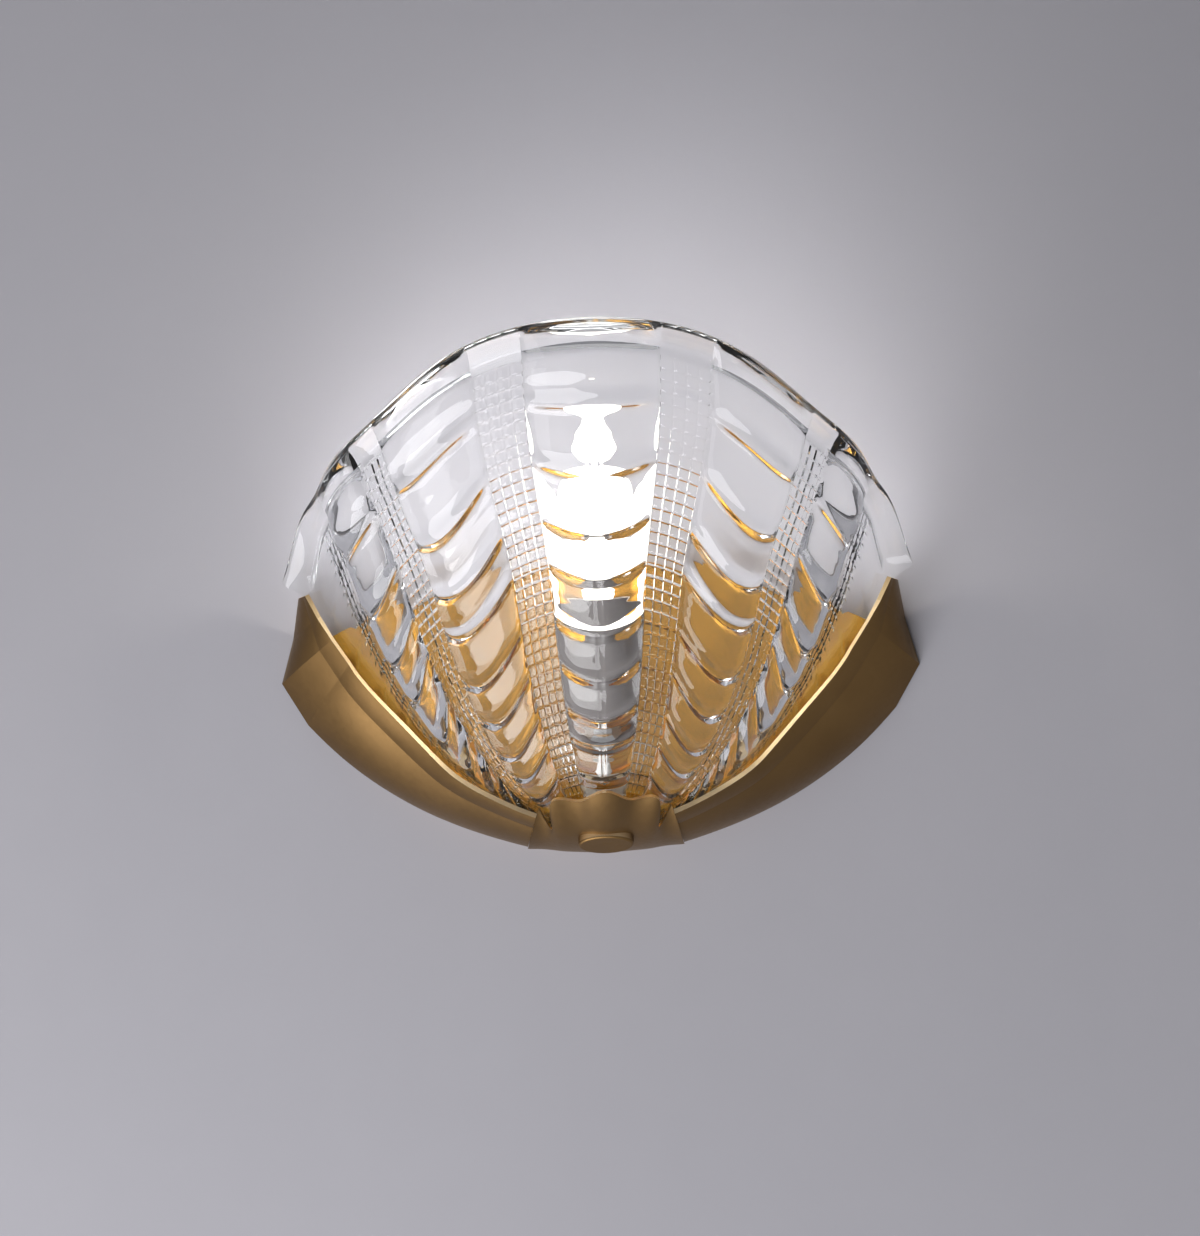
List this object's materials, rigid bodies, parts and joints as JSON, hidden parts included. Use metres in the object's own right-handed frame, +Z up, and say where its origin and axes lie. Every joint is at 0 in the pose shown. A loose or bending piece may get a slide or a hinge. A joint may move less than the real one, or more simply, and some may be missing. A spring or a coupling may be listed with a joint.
{
  "type": "shell wall sconce",
  "caption": "Half-bowl uplighter wall light: a fluted scallop-shell shade of clear pressed glass that drops into a brass crescent frame round a candle lamp.",
  "frame": {"origin": "on the wall, midway between the two slotted wall holes of the bracket", "axes": "+X to the right as seen from the room, +Y into the wall, +Z up"},
  "size_m": [0.319, 0.1325, 0.2552],
  "materials": {
    "zinc_steel": "zinc plated",
    "polished_brass": "polished",
    "satin_brass": "satin, brushed",
    "clear_silicone": "milky silicone",
    "white_plastic": "matt",
    "sleeve_white": "woven glass-fibre sleeve",
    "core_insulation": "smooth",
    "pressed_glass": "clear, fire polished",
    "bulb_glass": "clear",
    "nickel": "nickel plated",
    "black_glass": "vitrified",
    "glowing_filament": "phosphor coated, lit"
  },
  "bodies": {
    "frame": {"wall_bracket": "zinc_steel", "bracket_studs": "zinc_steel", "cap_nuts": "polished_brass", "back_plate": "polished_brass", "left_arm": "satin_brass", "right_arm": "satin_brass", "arm_screws": "zinc_steel", "front_clasp": "satin_brass", "clasp_screw": "zinc_steel", "clasp_pad": "clear_silicone", "edge_gasket": "clear_silicone", "terminal_block": "white_plastic", "terminal_tubes": "polished_brass", "terminal_screws": "zinc_steel", "block_screw": "zinc_steel", "earth_screw": "zinc_steel", "holder_strip": "polished_brass", "strip_screws": "polished_brass", "holder_nipple": "zinc_steel", "holder_nuts": "zinc_steel", "holder_base": "white_plastic", "holder_body": "white_plastic", "holder_screw_shell": "polished_brass", "holder_contact": "polished_brass", "lead_grommet": "clear_silicone", "lead_sleeve": "sleeve_white", "lamp_leads": "core_insulation"},
    "glass": {"glass_shell": "pressed_glass"},
    "bulb": {"bulb_envelope": "bulb_glass", "bulb_cap": "nickel", "bulb_insulator": "black_glass", "bulb_contact": "nickel", "bulb_stem": "bulb_glass", "bulb_filaments": "glowing_filament"}
  },
  "joints": [
    {"name": "glass_lift", "type": "slide", "parent": "frame", "child": "glass", "axis": [0, 0, 1], "range_m": [0, 0.011]},
    {"name": "bulb_unscrew", "type": "slide", "parent": "frame", "child": "bulb", "axis": [0, 0, 1], "range_m": [0, 0.022]}
  ]
}
